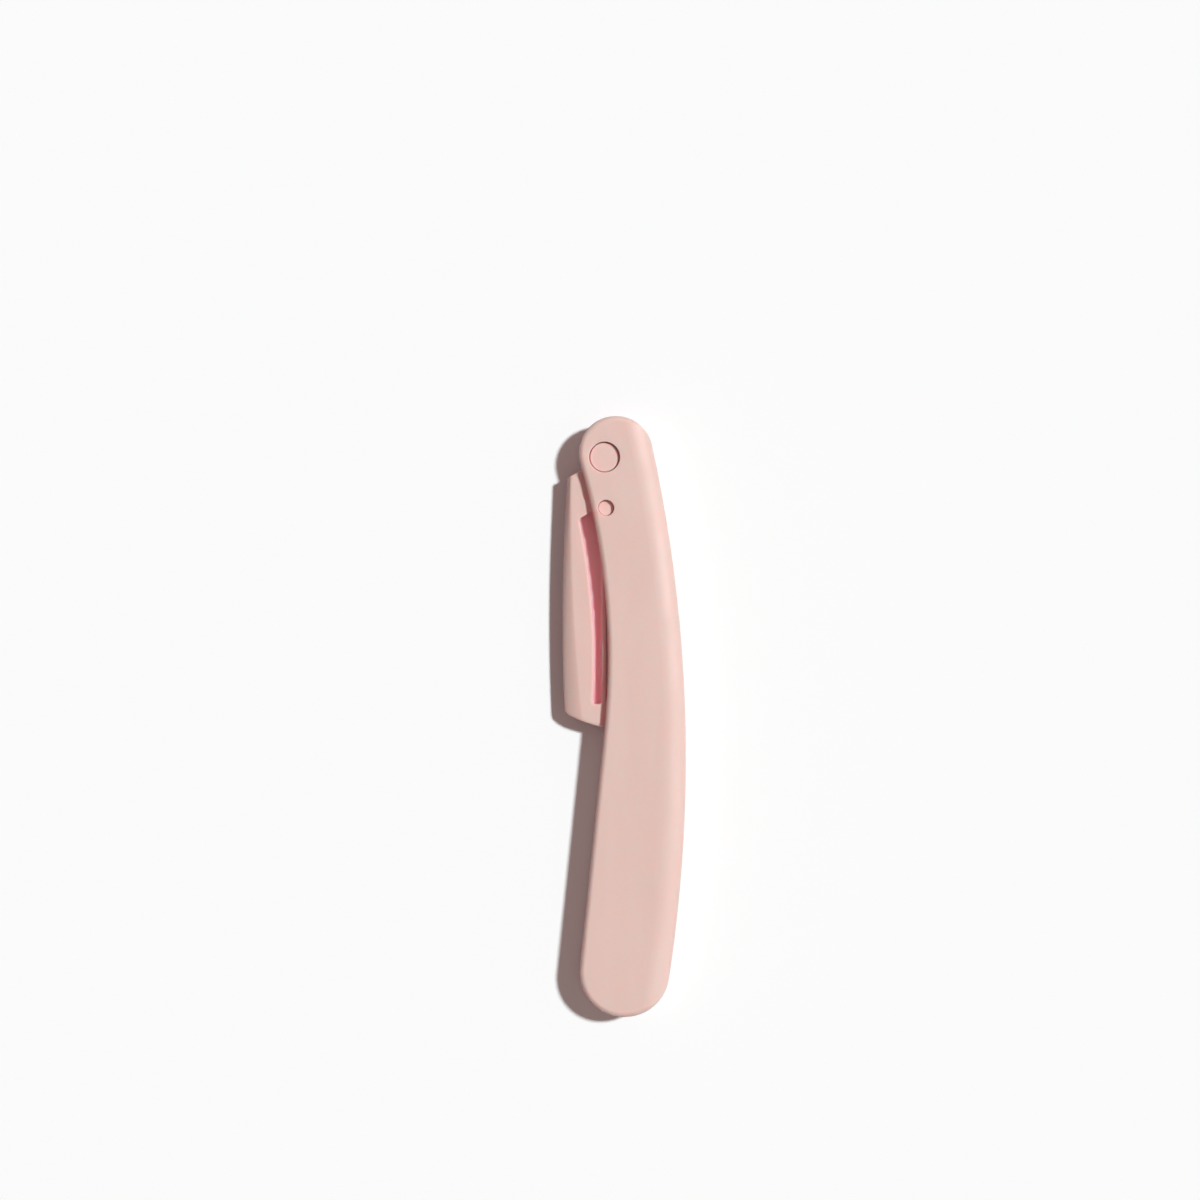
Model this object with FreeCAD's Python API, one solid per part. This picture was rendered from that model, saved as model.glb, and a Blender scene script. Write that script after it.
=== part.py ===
"""Folding eyebrow razor, closed: a two-shell handle and a swinging head with blade and comb guard.

Millimetres. The origin is on the pivot axis in the rear face's plane, +X points to the handle's back,
+Y along the handle to its round head end and +Z to the front.
"""
import FreeCAD, Part
import math
import os

V = FreeCAD.Vector
Z_AXIS = V(0, 0, 1)

# Handle outline, seen from the front
HANDLE_LENGTH = 113.6
HEAD_END_RADIUS = 7.0
HEAD_END_HEADING = 20.6
PIVOT_FROM_RIM = 4.72
BUTT_RADIUS = 8.5
BACK_RADIUS = 275.0
BELLY_RADIUS = 133.0
GRIP_LEAN = 5.9
GRIP_BELLY_X = 5.31

# Handle section
CHEEK = 2.1
EDGE_ROUND = 1.0
CROWN_WIDTH = 4.0
CROWN_DEPTH = 1.9
CROWN_FLAT = 0.05
BACK_WALL = 3.0
GRIP_WALL = 1.8
BULKHEAD = 2.0
MOUTH_ROUND = 0.35
PARTING_CHAMFER = 0.12
RIM_ROUND = 0.15

# Posts and sockets that join the shells
POST_COUNT = 3
BOSS_DIAMETER = 4.6
POST_DIAMETER = 2.2
POST_LENGTH = 1.1

# Clearances
SIDE_CLEARANCE = 0.2
RUNNING_CLEARANCE = 0.05
FIXED_CLEARANCE = 0.02
SEAT_CLEARANCE = 0.1
TIP_CLEARANCE = 1.2

# Pivot pin and cap
PIN_DIAMETER = 3.0
PIN_HEAD_DIAMETER = 5.5
PIN_HEAD_THICKNESS = 0.8
PIN_HEAD_RECESS = 0.8
PIN_HEAD_GAP = 0.15
PIN_HEAD_EDGE = 0.2
PIN_TIP_DIAMETER = 1.8
PIN_TIP_LENGTH = 0.5

# Stop pin, and the angle the head opens to
STOP_X = 0.28
STOP_Y = -9.62
STOP_DIAMETER = 3.0
STOP_RECESS = 1.0
STOP_GAP = 0.2
STOP_PIN_EDGE = 0.2
OPEN_ANGLE = 170.0
OPEN_STOP_ANGLE_GAP = 1.0

# Blade carrier
CARRIER_THICKNESS = 3.2
CARRIER_LENGTH = 51.6
SPINE_REACH = 7.98
SPINE_CROWN_BELOW = 31.0
SPINE_RADIUS = 380.0
SPINE_NOSE_AT_LIP = 0.8
SPINE_NOSE_AT_TIP = 3.8
SPINE_NOSE_FULLNESS = 0.35
SPINE_FLAT = 0.05
LIP_SLOPE = 28.5
TANG_INSET = 0.4
TIP_SLANT = 3.2
TIP_RADIUS = 26.0
LIP_CORNER = 0.7
TIP_SPINE_CORNER = 1.3
TIP_EDGE_CORNER = 1.8
SHOULDER_CORNER = 2.0
CARRIER_EDGE_ROUND = 0.25

# Long groove in the carrier's front face
GROOVE_FROM_BELLY = 2.7
GROOVE_DEPTH = 2.1
GROOVE_BELOW_SHOULDER = 0.28
GROOVE_SLOPE = 30.0
GROOVE_CORNER = 0.7
GROOVE_RIM_ROUND = 0.2
GROOVE_FLOOR_ROUND = 0.4
STOP_WALL = 0.9

# Blade, its seat and its retainer
EDGE_X = 6.6
BLADE_WIDTH = 5.8
BLADE_THICKNESS = 0.25
BLADE_BEVEL = 0.9
BLADE_EXPOSURE = 2.0
SEAT_RIB = 0.87
SEAT_MARGIN = 0.4
TOP_EAR = 1.5
TIP_WALL = 4.9
STAKE_COUNT = 3
STAKE_DIAMETER = 1.5
STAKE_HEAD_DIAMETER = 2.5
STAKE_HEAD_THICKNESS = 0.5
RETAINER_EDGE_ROUND = 0.2

# Comb guard
GUARD_STANDOFF = 0.4
GUARD_NOSE_THICKNESS = 0.9
GUARD_TAPER_START = 1.2
GUARD_RAIL = 0.6
TOOTH_THICKNESS = 0.4
TOOTH_PITCH = 0.95

# Levels
SLOT = CARRIER_THICKNESS + 2 * SIDE_CLEARANCE
THICKNESS = 2 * CHEEK + SLOT
MID = THICKNESS / 2
CARRIER_REAR = MID - CARRIER_THICKNESS / 2
CARRIER_FRONT = MID + CARRIER_THICKNESS / 2
BLADE_REAR = MID - BLADE_THICKNESS / 2
BLADE_FRONT = MID + BLADE_THICKNESS / 2

# Handle places
LEAN = math.radians(GRIP_LEAN)
HEADING = math.radians(HEAD_END_HEADING)
HEAD_END = V(math.cos(HEADING), math.sin(HEADING), 0) * (HEAD_END_RADIUS - PIVOT_FROM_RIM)
BUTT_Y = HEAD_END.y + HEAD_END_RADIUS - HANDLE_LENGTH + BUTT_RADIUS
BUTT = V(GRIP_BELLY_X + BUTT_Y * math.tan(LEAN) + BUTT_RADIUS / math.cos(LEAN), BUTT_Y, 0)
STOP = V(STOP_X, STOP_Y, 0)

# Head places
TANG_RADIUS = PIVOT_FROM_RIM - TANG_INSET
LIP_ANGLE = 180 + LIP_SLOPE
STOP_NOTCH = STOP_DIAMETER / 2 + STOP_GAP
SHOULDER_Y = STOP_Y - STOP_NOTCH
GROOVE_TOP = SHOULDER_Y - GROOVE_BELOW_SHOULDER
SEAT_TOP = SHOULDER_Y - TOP_EAR
SEAT_BOTTOM = -CARRIER_LENGTH + TIP_WALL
LIP_X = EDGE_X - BLADE_EXPOSURE
GUARD_X = EDGE_X + GUARD_STANDOFF
BLADE_BACK_X = EDGE_X - BLADE_WIDTH
SEAT_X = BLADE_BACK_X - SEAT_MARGIN
GROOVE_RIGHT = SEAT_X - SEAT_RIB
TAPER_X = LIP_X - GUARD_TAPER_START
STAKE_X = (BLADE_BACK_X + TAPER_X) / 2
TIP_Y = -CARRIER_LENGTH + TIP_SLANT
POCKET_BOTTOM = -math.hypot(CARRIER_LENGTH, GUARD_X) - TIP_CLEARANCE
FAR = 2 * HANDLE_LENGTH
NEAR = 0.005


def polar(radius, degrees):
    """Return a point in plan at a radius and angle from the pivot axis."""
    angle = math.radians(degrees)
    return V(radius * math.cos(angle), radius * math.sin(angle), 0)


def toward(start, end, distance):
    """Return the point a distance from start in the direction of end."""
    step = end - start
    return start + step * (distance / step.Length)


def circles_meet(first, first_radius, second, second_radius, side):
    """Return where two circles meet, on the left (+1) or right (-1) of the line from first to second."""
    gap = (second - first).Length
    along = (gap ** 2 + first_radius ** 2 - second_radius ** 2) / (2 * gap)
    across = math.sqrt(first_radius ** 2 - along ** 2)
    unit = (second - first) / gap
    return first + unit * along + V(-unit.y, unit.x, 0) * (across * side)


def arc(centre, start, end, turn):
    """Return the arc about centre from start to end, turning left (+1) or right (-1)."""
    radius = (start - centre).Length
    first = math.atan2(start.y - centre.y, start.x - centre.x)
    last = math.atan2(end.y - centre.y, end.x - centre.x)
    sweep = (last - first) * turn % (2 * math.pi)
    middle = first + turn * sweep / 2
    through = centre + V(math.cos(middle), math.sin(middle), 0) * radius
    return Part.Arc(start, through, end).toShape()


def line(start, end):
    """Return a straight edge."""
    return Part.LineSegment(start, end).toShape()


def prism(edges, bottom, top):
    """Return the solid that a closed run of plan edges fills between two levels."""
    face = Part.Face(Part.Wire(edges))
    face.translate(V(0, 0, bottom))
    return face.extrude(V(0, 0, top - bottom))


def polygon(points):
    """Return the closed run of straight edges through the points."""
    return [line(a, b) for a, b in zip(points, points[1:] + points[:1])]


def disc(centre, diameter, bottom, top):
    """Return an upright cylinder between two levels."""
    return Part.makeCylinder(diameter / 2, top - bottom, V(centre.x, centre.y, bottom))


def block(left, right, low, high, bottom, top):
    """Return a box from its limits along X, Y and Z."""
    return Part.makeBox(right - left, high - low, top - bottom, V(left, low, bottom))


def edges_where(shape, test):
    """Return the shape's edges that pass a test of the edge and its middle point."""
    found = []
    for edge in shape.Edges:
        middle = edge.valueAt((edge.FirstParameter + edge.LastParameter) / 2)
        if test(edge, middle):
            found.append(edge)
    return found


def is_upright(edge):
    """Return whether an edge rises more than it runs."""
    return edge.BoundBox.ZLength > edge.BoundBox.XLength + edge.BoundBox.YLength


def upright_edges_at(shape, places):
    """Return the upright edges that stand at the given plan places."""
    def test(edge, middle):
        flat = V(middle.x, middle.y, 0)
        return is_upright(edge) and min((flat - place).Length for place in places) < NEAR
    return edges_where(shape, test)


def edges_along(shape, outline, level):
    """Return the edges at a level that run along a plan outline."""
    run = Part.Wire(outline)
    run.translate(V(0, 0, level))

    def test(edge, middle):
        flat = edge.BoundBox.ZLength < NEAR and abs(middle.z - level) < NEAR
        return flat and run.distToShape(Part.Vertex(middle))[0] < NEAR
    return edges_where(shape, test)


def rims_at(shape, diameter, level):
    """Return the circular edges of a diameter at a level."""
    def test(edge, middle):
        is_circle = isinstance(edge.Curve, Part.Circle)
        return is_circle and abs(edge.Curve.Radius - diameter / 2) < NEAR and abs(middle.z - level) < NEAR
    return edges_where(shape, test)


def belly_centre(inset):
    """Return the centre of the belly's hollow arc and its two ends, on the head end and on the straight."""
    along = V(math.sin(LEAN), math.cos(LEAN), 0)
    outward = V(-math.cos(LEAN), math.sin(LEAN), 0)
    radius = BELLY_RADIUS + inset
    foot = BUTT + outward * (BUTT_RADIUS - inset)
    offset = foot + outward * radius - HEAD_END
    reach = radius + HEAD_END_RADIUS - inset
    lead = offset.dot(along)
    rise = -lead - math.sqrt(lead ** 2 - offset.dot(offset) + reach ** 2)
    centre = HEAD_END + offset + along * rise
    return centre, toward(HEAD_END, centre, HEAD_END_RADIUS - inset), foot + along * rise, foot


def back_centre():
    """Return the centre of the back's long arc, which runs round the head end and the butt."""
    return circles_meet(HEAD_END, BACK_RADIUS - HEAD_END_RADIUS, BUTT, BACK_RADIUS - BUTT_RADIUS, -1)


def handle_outline(inset):
    """Return the handle's plan outline, moved inward by the inset."""
    back = back_centre()
    centre, neck_end, straight_top, straight_foot = belly_centre(inset)
    head_back = toward(back, HEAD_END, BACK_RADIUS - inset)
    butt_back = toward(back, BUTT, BACK_RADIUS - inset)
    return [
        arc(HEAD_END, head_back, neck_end, 1),
        arc(centre, neck_end, straight_top, -1),
        line(straight_top, straight_foot),
        arc(BUTT, straight_foot, butt_back, 1),
        arc(back, butt_back, head_back, 1),
    ]


def crowned_disc():
    """Return the disc round the back's centre whose rim falls away in a quarter ellipse."""
    centre = back_centre()

    def place(inset, level):
        return V(centre.x - BACK_RADIUS + inset, centre.y, level)

    hub = BACK_RADIUS / 2
    rim = Part.BSplineCurve()
    poles = [place(CROWN_WIDTH, 0), place(-CROWN_FLAT, 0), place(-CROWN_FLAT, CROWN_DEPTH)]
    rim.buildFromPolesMultsKnots(poles, [3, 3], [0, 1], False, 2, [1, math.sqrt(0.5), 1])
    profile = Part.Wire([
        line(place(hub, 0), place(CROWN_WIDTH, 0)),
        rim.toShape(),
        line(place(-CROWN_FLAT, CROWN_DEPTH), place(-CROWN_FLAT, THICKNESS)),
        line(place(-CROWN_FLAT, THICKNESS), place(hub, THICKNESS)),
        line(place(hub, THICKNESS), place(hub, 0)),
    ])
    return Part.Face(profile).revolve(centre, Z_AXIS, 360)


def grip_middle(level):
    """Return the point midway between the grip's two sides at a height along the handle."""
    centre, neck_end, top, foot = belly_centre(0)
    left = foot.x + (level - foot.y) * (top.x - foot.x) / (top.y - foot.y)
    back = back_centre()
    right = back.x + math.sqrt(BACK_RADIUS ** 2 - (level - back.y) ** 2)
    return V((left + right) / 2, level, 0)


def post_places():
    """Return the plan places of the posts, spread along the hollow grip."""
    top = POCKET_BOTTOM - BULKHEAD
    span = top - BUTT.y
    return [grip_middle(top - span * (index + 0.5) / POST_COUNT) for index in range(POST_COUNT)]


def half_shell():
    """Return the rear half of the handle up to the parting plane, without posts."""
    edge_round = min(EDGE_ROUND, 0.9 * CHEEK)
    mouth_round = min(MOUTH_ROUND, 0.6 * (CHEEK - edge_round))
    shell = prism(handle_outline(0), 0, MID)
    shell = shell.makeFillet(edge_round, edges_along(shell, handle_outline(0), 0))
    shell = shell.common(crowned_disc())

    # Pocket for the folded head: closed by the back wall, open along the belly and over the head end
    inner = prism(handle_outline(BACK_WALL), CHEEK, MID)
    inner = inner.common(block(-FAR, FAR, POCKET_BOTTOM, FAR, 0, THICKNESS))
    stop_angle = LIP_ANGLE - OPEN_ANGLE - OPEN_STOP_ANGLE_GAP
    mouth_edge = [
        V(0, 0, 0),
        polar(FAR, stop_angle),
        V(-FAR, FAR, 0),
        V(-FAR, POCKET_BOTTOM, 0),
        grip_middle(POCKET_BOTTOM),
        grip_middle((SHOULDER_Y + POCKET_BOTTOM) / 2),
    ]
    mouth = prism(polygon(mouth_edge), CHEEK, MID)
    tang_room = disc(V(0, 0, 0), 2 * (TANG_RADIUS + SIDE_CLEARANCE), CHEEK, MID)
    edge_room = block(0, GUARD_X + TIP_CLEARANCE, POCKET_BOTTOM, SHOULDER_Y, CHEEK, MID)
    shell = shell.cut(inner.fuse([mouth, tang_room, edge_room]).removeSplitter())
    shell = shell.makeChamfer(PARTING_CHAMFER, edges_along(shell, handle_outline(0), MID))
    shell = shell.makeFillet(mouth_round, edges_along(shell, handle_outline(0), CHEEK))

    # Hollow grip with bosses
    hollow = prism(handle_outline(GRIP_WALL), CHEEK, MID)
    hollow = hollow.common(block(-FAR, FAR, -FAR, POCKET_BOTTOM - BULKHEAD, 0, THICKNESS))
    for place in post_places():
        hollow = hollow.cut(disc(place, BOSS_DIAMETER, 0, MID))
    shell = shell.cut(hollow)

    # Seats for the pivot pin's head and for the stop pin
    seat_diameter = PIN_HEAD_DIAMETER + 2 * PIN_HEAD_GAP
    stop_bore = STOP_DIAMETER + 2 * FIXED_CLEARANCE
    shell = shell.cut(disc(V(0, 0, 0), seat_diameter, 0, PIN_HEAD_RECESS + PIN_HEAD_THICKNESS))
    shell = shell.cut(disc(V(0, 0, 0), PIN_DIAMETER + 2 * FIXED_CLEARANCE, 0, CHEEK))
    shell = shell.cut(disc(STOP, stop_bore, 0, CHEEK))
    shell = shell.makeFillet(RIM_ROUND, rims_at(shell, seat_diameter, 0) + rims_at(shell, stop_bore, 0))
    return shell


def rear_shell(half):
    """Return the rear half of the handle with its locating posts."""
    shell = half
    for place in post_places():
        shell = shell.fuse(disc(place, POST_DIAMETER, CHEEK, MID + POST_LENGTH))
    return shell.removeSplitter()


def front_shell(half):
    """Return the front half of the handle with its sockets."""
    shell = half.mirror(V(0, 0, MID), Z_AXIS)
    for place in post_places():
        bore = POST_DIAMETER + 2 * FIXED_CLEARANCE
        shell = shell.cut(disc(place, bore, MID, MID + POST_LENGTH + SEAT_CLEARANCE))
    return shell


def pivot_pin():
    """Return the headed pivot pin with a thinner tip for the cap."""
    front = THICKNESS - PIN_HEAD_RECESS
    rear = PIN_HEAD_RECESS + PIN_HEAD_THICKNESS
    pin = disc(V(0, 0, 0), PIN_HEAD_DIAMETER, front - PIN_HEAD_THICKNESS, front)
    pin = pin.makeFillet(PIN_HEAD_EDGE, rims_at(pin, PIN_HEAD_DIAMETER, front))
    pin = pin.fuse(disc(V(0, 0, 0), PIN_DIAMETER, rear, front - PIN_HEAD_THICKNESS))
    pin = pin.fuse(disc(V(0, 0, 0), PIN_TIP_DIAMETER, rear - PIN_TIP_LENGTH, rear))
    return pin.removeSplitter()


def pivot_cap():
    """Return the cap that holds the pivot pin's tip in the rear face."""
    top = PIN_HEAD_RECESS + PIN_HEAD_THICKNESS
    cap = disc(V(0, 0, 0), PIN_HEAD_DIAMETER, PIN_HEAD_RECESS, top)
    cap = cap.makeFillet(PIN_HEAD_EDGE, rims_at(cap, PIN_HEAD_DIAMETER, PIN_HEAD_RECESS))
    socket = PIN_TIP_DIAMETER + 2 * FIXED_CLEARANCE
    return cap.cut(disc(V(0, 0, 0), socket, top - PIN_TIP_LENGTH - FIXED_CLEARANCE, top))


def stop_pin():
    """Return the pin across the slot that the closed head's neck comes to rest on."""
    top = THICKNESS - STOP_RECESS
    pin = disc(STOP, STOP_DIAMETER, STOP_RECESS, top)
    ends = rims_at(pin, STOP_DIAMETER, STOP_RECESS) + rims_at(pin, STOP_DIAMETER, top)
    return pin.makeChamfer(STOP_PIN_EDGE, ends)


def taper_half(x):
    """Return half the head's thickness where its edge side thins toward the guard's nose."""
    share = (x - TAPER_X) / (GUARD_X - TAPER_X)
    return CARRIER_THICKNESS / 2 + share * (GUARD_NOSE_THICKNESS - CARRIER_THICKNESS) / 2


def taper_wedges():
    """Return the two wedges that thin the head's edge side, front and rear."""
    low = -CARRIER_LENGTH - TIP_CLEARANCE
    end = GUARD_X + TIP_CLEARANCE
    wedges = []
    for side in (-1, 1):
        outer = MID + side * CARRIER_THICKNESS
        profile = [
            V(TAPER_X, low, MID + side * taper_half(TAPER_X)),
            V(end, low, MID + side * taper_half(end)),
            V(end, low, outer),
            V(TAPER_X, low, outer),
        ]
        wedges.append(Part.Face(Part.Wire(polygon(profile))).extrude(V(0, SHOULDER_Y - low, 0)))
    return wedges


def spine_centre():
    """Return the centre of the spine's long arc."""
    return V(SPINE_RADIUS - SPINE_REACH, -SPINE_CROWN_BELOW, 0)


def spine_x(y):
    """Return the spine's place across at a height along the head."""
    centre = spine_centre()
    return centre.x - math.sqrt(SPINE_RADIUS ** 2 - (y - centre.y) ** 2)


def lip_corner():
    """Return where the lip's end face, which points at the pivot, meets the spine."""
    centre = spine_centre()
    unit = polar(1, LIP_ANGLE)
    lead = unit.dot(centre)
    reach = lead + math.sqrt(lead ** 2 - centre.dot(centre) + SPINE_RADIUS ** 2)
    return unit * reach


def carrier_outline():
    """Return the carrier's plan outline, the tip arc's centre and the places of the outer corners."""
    lip = lip_corner()
    spine_tip = V(spine_x(TIP_Y), TIP_Y, 0)
    edge_tip = V(GUARD_X, -CARRIER_LENGTH, 0)
    tip_centre = circles_meet(spine_tip, TIP_RADIUS, edge_tip, TIP_RADIUS, 1)
    shoulder = V(GUARD_X, SHOULDER_Y, 0)
    notch_foot = V(STOP_X, SHOULDER_Y, 0)

    # Neck side that crosses between the tang and the notch round the stop pin, touching both
    lean = math.acos((TANG_RADIUS + STOP_NOTCH) / STOP.Length)
    heading = math.atan2(STOP_Y, STOP_X) + lean
    unit = V(math.cos(heading), math.sin(heading), 0)
    tang_start = unit * TANG_RADIUS
    notch_end = STOP - unit * STOP_NOTCH
    tang_end = polar(TANG_RADIUS, LIP_ANGLE)

    edges = [
        arc(spine_centre(), lip, spine_tip, 1),
        arc(tip_centre, spine_tip, edge_tip, 1),
        line(edge_tip, shoulder),
        line(shoulder, notch_foot),
        arc(STOP, notch_foot, notch_end, -1),
        line(notch_end, tang_start),
        arc(V(0, 0, 0), tang_start, tang_end, 1),
        line(tang_end, lip),
    ]
    return edges, tip_centre, lip, spine_tip, edge_tip, shoulder


def spine_section(y):
    """Return the head's cross-section at a height, with a rounded nose that widens toward the tip."""
    share = (lip_corner().y - y) / (lip_corner().y - TIP_Y)
    left = spine_x(y) - SPINE_FLAT
    shoulder = left + SPINE_NOSE_AT_LIP + share * (SPINE_NOSE_AT_TIP - SPINE_NOSE_AT_LIP)
    half = CARRIER_THICKNESS / 2 + SPINE_FLAT

    def place(x, height):
        return V(x, y, MID + height)

    poles = [
        place(shoulder, -half),
        place(left, -half),
        place(left, 0),
        place(left, half),
        place(shoulder, half),
    ]
    weights = [1, SPINE_NOSE_FULLNESS, 1, SPINE_NOSE_FULLNESS, 1]
    nose = Part.BSplineCurve()
    nose.buildFromPolesMultsKnots(poles, [3, 2, 3], [0, 1, 2], False, 2, weights)
    return Part.Wire([
        nose.toShape(),
        line(place(shoulder, half), place(CARRIER_LENGTH, half)),
        line(place(CARRIER_LENGTH, half), place(CARRIER_LENGTH, -half)),
        line(place(CARRIER_LENGTH, -half), place(shoulder, -half)),
    ])


def spine_body():
    """Return the body that rounds the spine, through sections above the tang, midway and below the tip."""
    high = TANG_RADIUS + TIP_CLEARANCE
    low = -CARRIER_LENGTH - TIP_CLEARANCE
    return Part.makeLoft([spine_section(y) for y in (high, (high + low) / 2, low)], True, False)


def groove_outline():
    """Return the groove's plan outline along the handle's belly, its corners and its least width."""
    centre, neck_end, straight_top, straight_foot = belly_centre(0)
    radius = BELLY_RADIUS - GROOVE_FROM_BELLY

    def on_curve(y):
        return V(centre.x + math.sqrt(radius ** 2 - (y - centre.y) ** 2), y, 0)

    top = on_curve(GROOVE_TOP)
    foot = on_curve(SEAT_BOTTOM)
    foot_right = V(GROOVE_RIGHT, SEAT_BOTTOM, 0)
    rise = (GROOVE_RIGHT - top.x) * math.tan(math.radians(GROOVE_SLOPE))
    top_right = V(GROOVE_RIGHT, top.y + rise, 0)
    edges = [
        arc(centre, top, foot, -1),
        line(foot, foot_right),
        line(foot_right, top_right),
        line(top_right, top),
    ]
    return edges, [top, foot, foot_right], GROOVE_RIGHT - centre.x - radius


def groove():
    """Return the long groove, kept clear of the wall round the stop pin's notch."""
    floor = CARRIER_FRONT - GROOVE_DEPTH
    edges, corners, width = groove_outline()
    body = prism(edges, floor, CARRIER_FRONT)
    body = body.makeFillet(min(GROOVE_CORNER, 0.45 * width), upright_edges_at(body, corners))
    body = body.cut(disc(STOP, 2 * (STOP_NOTCH + STOP_WALL), 0, THICKNESS))
    bottom = edges_where(body, lambda edge, middle: abs(middle.z - floor) < NEAR)
    return body.makeFillet(min(GROOVE_FLOOR_ROUND, 0.3 * width), bottom)


def stake_places():
    """Return the plan places of the retainer's stakes, spread along the blade."""
    span = SEAT_TOP - SEAT_BOTTOM
    return [V(STAKE_X, SEAT_TOP - span * (index + 0.5) / STAKE_COUNT, 0) for index in range(STAKE_COUNT)]


def blade_carrier():
    """Return the moulded arm: tang, neck, spine, groove, blade seat and the ears at the edge's ends."""
    edges, tip_centre, lip, spine_tip, edge_tip, shoulder = carrier_outline()
    carrier = prism(edges, CARRIER_REAR, CARRIER_FRONT)
    carrier = carrier.makeFillet(LIP_CORNER, upright_edges_at(carrier, [lip]))
    carrier = carrier.makeFillet(TIP_SPINE_CORNER, upright_edges_at(carrier, [spine_tip]))
    carrier = carrier.makeFillet(TIP_EDGE_CORNER, upright_edges_at(carrier, [edge_tip]))
    carrier = carrier.makeFillet(SHOULDER_CORNER, upright_edges_at(carrier, [shoulder]))
    carrier = carrier.common(spine_body())

    # Rounded edges of the lip and of the tip, which run on along the whole outline
    def at_lip_or_tip(edge, middle):
        flat = V(middle.x, middle.y, 0)
        heading = polar(1, LIP_ANGLE)
        on_lip = abs(flat.cross(heading).z) < NEAR and flat.dot(heading) > TANG_RADIUS
        on_tip = abs((flat - tip_centre).Length - TIP_RADIUS) < NEAR
        return (on_lip or on_tip) and not is_upright(edge)

    edge_round = min(CARRIER_EDGE_ROUND, 0.32 * SPINE_NOSE_AT_LIP)
    carrier = carrier.makeFillet(edge_round, edges_where(carrier, at_lip_or_tip))
    for wedge in taper_wedges():
        carrier = carrier.cut(wedge)

    # Groove, then the blade's seat and the open edge side between the ears
    channel = groove()
    carrier = carrier.cut(channel)
    rim = edges_where(carrier, lambda edge, middle: channel.distToShape(Part.Vertex(middle))[0] < NEAR
                      and abs(middle.z - CARRIER_FRONT) < NEAR)
    carrier = carrier.makeFillet(GROOVE_RIM_ROUND, rim)
    carrier = carrier.cut(block(SEAT_X, FAR, SEAT_BOTTOM, SEAT_TOP, BLADE_REAR, THICKNESS))
    carrier = carrier.cut(block(LIP_X, FAR, SEAT_BOTTOM, SEAT_TOP, 0, THICKNESS))

    # Bores for the pivot pin and the stakes
    carrier = carrier.cut(disc(V(0, 0, 0), PIN_DIAMETER + 2 * RUNNING_CLEARANCE, 0, THICKNESS))
    head_level = CARRIER_REAR + STAKE_HEAD_THICKNESS
    for place in stake_places():
        carrier = carrier.cut(disc(place, STAKE_DIAMETER + 2 * FIXED_CLEARANCE, 0, THICKNESS))
        carrier = carrier.cut(disc(place, STAKE_HEAD_DIAMETER + 2 * FIXED_CLEARANCE, 0, head_level))
    return carrier


def blade():
    """Return the steel strip, ground from both sides to its edge."""
    low = SEAT_BOTTOM + SEAT_CLEARANCE
    profile = [
        V(BLADE_BACK_X, low, BLADE_REAR),
        V(EDGE_X - BLADE_BEVEL, low, BLADE_REAR),
        V(EDGE_X, low, MID),
        V(EDGE_X - BLADE_BEVEL, low, BLADE_FRONT),
        V(BLADE_BACK_X, low, BLADE_FRONT),
    ]
    length = SEAT_TOP - SEAT_BOTTOM - 2 * SEAT_CLEARANCE
    strip = Part.Face(Part.Wire(polygon(profile))).extrude(V(0, length, 0))
    for place in stake_places():
        strip = strip.cut(disc(place, STAKE_DIAMETER + 2 * SEAT_CLEARANCE, 0, THICKNESS))
    return strip


def blade_retainer():
    """Return the plate that clamps the blade, with stakes through blade and carrier."""
    left = SEAT_X + SEAT_CLEARANCE
    low = SEAT_BOTTOM + SEAT_CLEARANCE
    high = SEAT_TOP - SEAT_CLEARANCE
    plate = block(left, LIP_X, low, high, BLADE_FRONT, CARRIER_FRONT)
    top = edges_where(plate, lambda edge, middle: abs(middle.z - CARRIER_FRONT) < NEAR)
    plate = plate.makeFillet(RETAINER_EDGE_ROUND, top)
    for wedge in taper_wedges():
        plate = plate.cut(wedge)
    head_level = CARRIER_REAR + STAKE_HEAD_THICKNESS
    for place in stake_places():
        plate = plate.fuse(disc(place, STAKE_DIAMETER, CARRIER_REAR, BLADE_FRONT))
        plate = plate.fuse(disc(place, STAKE_HEAD_DIAMETER, CARRIER_REAR, head_level))
    return plate.removeSplitter()


def comb_guard():
    """Return the guard that straddles the edge: two rails joined by fine teeth round the blade."""
    low = SEAT_BOTTOM + SEAT_CLEARANCE
    length = SEAT_TOP - SEAT_BOTTOM - 2 * SEAT_CLEARANCE
    rail_x = LIP_X + SEAT_CLEARANCE
    slit = BLADE_THICKNESS / 2 + FIXED_CLEARANCE
    slit_x = EDGE_X + FIXED_CLEARANCE
    base = taper_half(rail_x)
    nose = taper_half(GUARD_X)
    profile = [
        V(rail_x, low, MID + base),
        V(GUARD_X, low, MID + nose),
        V(GUARD_X, low, MID - nose),
        V(rail_x, low, MID - base),
        V(rail_x, low, MID - slit),
        V(slit_x, low, MID - slit),
        V(slit_x, low, MID + slit),
        V(rail_x, low, MID + slit),
    ]
    guard = Part.Face(Part.Wire(polygon(profile))).extrude(V(0, length, 0))
    gap_count = int((length - TOOTH_THICKNESS) / TOOTH_PITCH)
    first = low + (length - gap_count * TOOTH_PITCH + TOOTH_THICKNESS) / 2
    gap = TOOTH_PITCH - TOOTH_THICKNESS
    gaps = []
    for index in range(gap_count):
        foot = first + index * TOOTH_PITCH
        gaps.append(block(rail_x + GUARD_RAIL, FAR, foot, foot + gap, 0, THICKNESS))
    return guard.cut(Part.makeCompound(gaps))


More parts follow.
